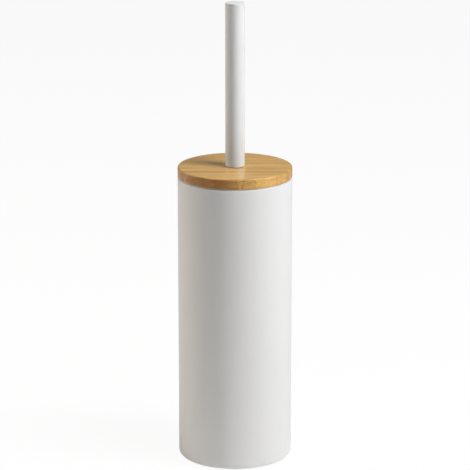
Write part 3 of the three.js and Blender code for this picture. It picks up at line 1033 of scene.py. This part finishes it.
class HOLDER_OT_bristles(bpy.types.Operator):
    """Build the seven rows of bristle tufts and the tufts at the tip"""

    bl_idname = "holder.bristles"
    bl_label = "Bristles"

    def execute(self, context):
        """A tuft's roots fill a disc on the core, and its tips fill a square on the row's outer
        cylinder, so that neighbouring tufts meet. The tip's tufts fan out from down to sideways."""
        brush = context.scene.brush
        rng = np.random.default_rng(BRISTLE_SEED)
        root_radius, sunk = 1.6 * MM, CORE_RADIUS - MM
        side_share, height_share = 0.52, 0.74  # of a tuft's angle and of a row's height
        tuft_angle = 2 * np.pi / brush.tufts
        count = brush.tufts * brush.strands
        for row, node in enumerate(row_nodes()):
            outer, low, high = span(node)
            middle = (low + high) / 2
            tuft = np.repeat(np.arange(brush.tufts), brush.strands)
            centre = (tuft + 0.5 * (row % 2)) * tuft_angle
            square, disc = square_and_disc(count, rng)
            root_angle = centre + disc[:, 0] * root_radius / CORE_RADIUS
            tip_angle = centre + square[:, 0] * tuft_angle * side_share
            reach = outer - rng.uniform(0.2, 1.8, count) * MM
            root_height = middle + disc[:, 1] * root_radius
            tip_height = middle + square[:, 1] * (high - low) * height_share
            roots = np.stack([sunk * np.cos(root_angle), sunk * np.sin(root_angle), root_height], -1)
            tips = np.stack([reach * np.cos(tip_angle), reach * np.sin(tip_angle), tip_height], -1)
            sideways = np.stack([-np.sin(centre), np.cos(centre), np.zeros(count)], -1)
            add_bristles(node, f"bristles_{row + 1}", roots, tips, sideways, rng)

        tip_low, core_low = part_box("bristle_tip")[0].z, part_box("head_core")[0].z
        ring_tufts = np.array([1, 7, 12, 16, 20])
        ring_centre = np.array([0, 5.2, 9, 9, 9]) * MM
        ring_slope = np.radians([0, 0, 30, 58, 84])
        ring_fan = np.radians([0, 8, 32, 58, 80])
        ring_reach = np.array([9, 9, 11, 15.8, 18.6]) * MM
        ring_spread = np.array([2.6, 3, 4.4, 5, 4.8]) * MM
        ring = np.repeat(np.arange(len(ring_tufts)), ring_tufts * brush.strands)
        place = np.concatenate([np.repeat(np.arange(n), brush.strands) for n in ring_tufts])
        centre = (place + 0.5 * (ring % 2)) * 2 * np.pi / ring_tufts[ring]
        square, disc = square_and_disc(len(ring), rng)
        outwards = np.stack([np.cos(centre), np.sin(centre), np.zeros(len(ring))], -1)
        sideways = np.stack([-np.sin(centre), np.cos(centre), np.zeros(len(ring))], -1)
        down = np.array([0, 0, -1])

        def facing(angle):
            """Directions at an angle from straight down towards outwards."""
            return outwards * np.sin(angle)[:, None] + down * np.cos(angle)[:, None]

        slope = ring_slope[ring]
        roots = outwards * ring_centre[ring, None] - down * (core_low + DOME_ROUND)
        roots += facing(slope) * (DOME_ROUND - MM) + sideways * (disc[:, :1] * 1.4 * MM)
        roots += facing(slope + np.pi / 2) * (disc[:, 1:] * 1.2 * MM)
        reach = ring_reach[ring] - rng.uniform(0, 1.3, len(ring)) * MM
        fan = ring_fan[ring] + square[:, 1] * np.radians(12)
        spread = square[:, 0] * ring_spread[ring]
        tips = roots + facing(fan) * reach[:, None] + sideways * spread[:, None]
        tips[:, 2] = np.maximum(tips[:, 2], tip_low + rng.uniform(0.2, 1.4, len(ring)) * MM)
        add_bristles("bristle_tip", "bristles_tip", roots, tips, sideways, rng)
        return {"FINISHED"}


# ---------------------------------------------------------------------------- Stage


def floor_material():
    """A pale floor, near white with a faint shadow to the camera, that throws soft light back."""
    material = bpy.data.materials.new("pale_floor")
    material.use_nodes = True
    tree = material.node_tree
    tree.nodes.clear()
    seen = add_node(tree, "ShaderNodeBsdfDiffuse", {"Color": (0.08, 0.08, 0.08, 1)})
    lift = add_node(tree, "ShaderNodeEmission", {"Color": (0.93, 0.93, 0.93, 1)})
    shown = add_node(tree, "ShaderNodeAddShader", {0: seen.outputs[0], 1: lift.outputs[0]})
    thrown = add_node(tree, "ShaderNodeBsdfDiffuse", {"Color": (0.96, 0.94, 0.9, 1)})
    to_camera = add_node(tree, "ShaderNodeLightPath").outputs["Is Camera Ray"]
    inputs = {0: to_camera, 1: thrown.outputs[0], 2: shown.outputs[0]}
    mixed = add_node(tree, "ShaderNodeMixShader", inputs)
    add_node(tree, "ShaderNodeOutputMaterial", {"Surface": mixed.outputs[0]})
    return material


def sky(settings):
    """A studio sky, darker at the horizon than overhead, that the camera sees as near white. Shiny
    parts mirror a brighter screen on the camera's side."""
    world = bpy.data.worlds.new("studio_sky")
    world.use_nodes = True
    tree = world.node_tree
    tree.nodes.clear()
    towards = add_node(tree, "ShaderNodeTexCoord").outputs["Generated"]
    up = add_node(tree, "ShaderNodeSeparateXYZ", {0: towards})
    rise = calculate(tree, "MAXIMUM", up.outputs[2], 0.0)
    level = calculate(tree, "MULTIPLY_ADD", rise, settings.sky_high, settings.sky_low)
    ray = add_node(tree, "ShaderNodeLightPath").outputs
    in_front = remap(tree, up.outputs[1], -0.3, 0.5, settings.sky_sheen, 0.3 * settings.sky_sheen)
    level = calculate(tree, "MULTIPLY_ADD", ray["Is Glossy Ray"], in_front, level)
    glow = add_node(tree, "ShaderNodeBackground", {"Color": (1, 1, 1, 1), "Strength": level})
    plain = add_node(tree, "ShaderNodeBackground", {"Color": (0.99, 0.99, 0.99, 1), "Strength": 1.0})
    to_camera = ray["Is Camera Ray"]
    mixed = add_node(tree, "ShaderNodeMixShader", {0: to_camera, 1: glow.outputs[0], 2: plain.outputs[0]})
    add_node(tree, "ShaderNodeOutputWorld", {"Surface": mixed.outputs[0]})
    bpy.context.scene.world = world


def add_light(name, round_angle, rise, size, energy, color):
    """A round area light that aims at the middle of the whole height, from a set distance. Its
    angles are in degrees: round from the camera's side, and up."""
    distance, aim_height = 1.5, solid_box[1].z / 2
    data = bpy.data.lights.new(name, "AREA")
    data.shape = "DISK"
    data.size = size
    data.energy = energy
    data.color = color
    light = bpy.data.objects.new(name, data)
    turn, lift = math.radians(round_angle), math.radians(rise)
    away = np.array([math.sin(turn) * math.cos(lift), -math.cos(turn) * math.cos(lift), math.sin(lift)])
    light.location = away * distance + np.array([0, 0, aim_height])
    light.rotation_euler = (math.pi / 2 - lift, 0, turn)
    bpy.context.scene.collection.objects.link(light)


class HOLDER_OT_stage(bpy.types.Operator):
    """Build the pale floor, the studio light and the camera"""

    bl_idname = "holder.stage"
    bl_label = "Stage"

    def execute(self, context):
        """The floor is a flat square grid. The camera stands in front, on the centre line."""
        settings = context.scene.stage_light
        half, cells = 4.0, 8
        side = np.linspace(-half, half, cells + 1)
        x, y = np.meshgrid(side, side)
        points = np.stack([x, y, np.full_like(x, -0.1 * MM)], -1).reshape(-1, 3)
        row, column = np.mgrid[0:cells, 0:cells]
        start = (row * (cells + 1) + column).reshape(-1, 1)
        faces = start + np.array([0, 1, cells + 2, cells + 1])
        mesh = bpy.data.meshes.new("floor")
        mesh.from_pydata(points.tolist(), [], faces.tolist())
        mesh.materials.append(floor_material())
        floor = bpy.data.objects.new("floor", mesh)
        context.scene.collection.objects.link(floor)

        sky(settings)
        add_light("high_key", 60, 65, 0.6, settings.high_power, (1.0, 1.0, 1.0))
        add_light("low_key", 72, 15, 0.4, settings.low_power, (0.96, 0.97, 1.0))
        add_light("fill_light", -109, 18, 0.9, settings.fill_power, (1.0, 0.9, 0.78))

        data = bpy.data.cameras.new("camera")
        data.lens = settings.lens
        data.sensor_width = 36
        camera = bpy.data.objects.new("camera", data)
        camera.location = (0, -settings.camera_distance, settings.camera_height)
        camera.rotation_euler = (math.pi / 2 - settings.camera_tilt, 0, 0)
        context.scene.collection.objects.link(camera)
        context.scene.camera = camera
        context.scene.view_settings.view_transform = "Standard"
        return {"FINISHED"}


OPERATORS = (
    HOLDER_OT_stage,
    HOLDER_OT_canister,
    HOLDER_OT_base,
    HOLDER_OT_liner,
    HOLDER_OT_lid,
    HOLDER_OT_seals,
    HOLDER_OT_fasteners,
    HOLDER_OT_handle,
    HOLDER_OT_stem,
    HOLDER_OT_core,
    HOLDER_OT_bristles,
)
SETTINGS = {
    "canister": CanisterSettings,
    "lid": LidSettings,
    "brush": BrushSettings,
    "stage_light": StageSettings,
}


class HOLDER_PT_panel(bpy.types.Panel):
    """Sizes and colours of the brush holder, and a button for each of its pieces"""

    bl_idname = "HOLDER_PT_panel"
    bl_label = "Toilet Brush Holder"
    bl_space_type = "VIEW_3D"
    bl_region_type = "UI"
    bl_category = "Brush Holder"

    def draw(self, context):
        for name, group in SETTINGS.items():
            box = self.layout.box()
            for setting in group.__annotations__:
                box.prop(getattr(context.scene, name), setting)
        for operator in OPERATORS:
            self.layout.operator(operator.bl_idname)


def register():
    for cls in (*SETTINGS.values(), *OPERATORS, HOLDER_PT_panel):
        bpy.utils.register_class(cls)
    for name, group in SETTINGS.items():
        setattr(bpy.types.Scene, name, PointerProperty(type=group))


def unregister():
    for name in SETTINGS:
        delattr(bpy.types.Scene, name)
    for cls in (HOLDER_PT_panel, *reversed(OPERATORS), *reversed(SETTINGS.values())):
        bpy.utils.unregister_class(cls)


def main():
    """Registers the add-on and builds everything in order."""
    register()
    for operator in OPERATORS:
        getattr(bpy.ops.holder, operator.bl_idname.split(".")[1])()


if __name__ == "__main__":
    main()
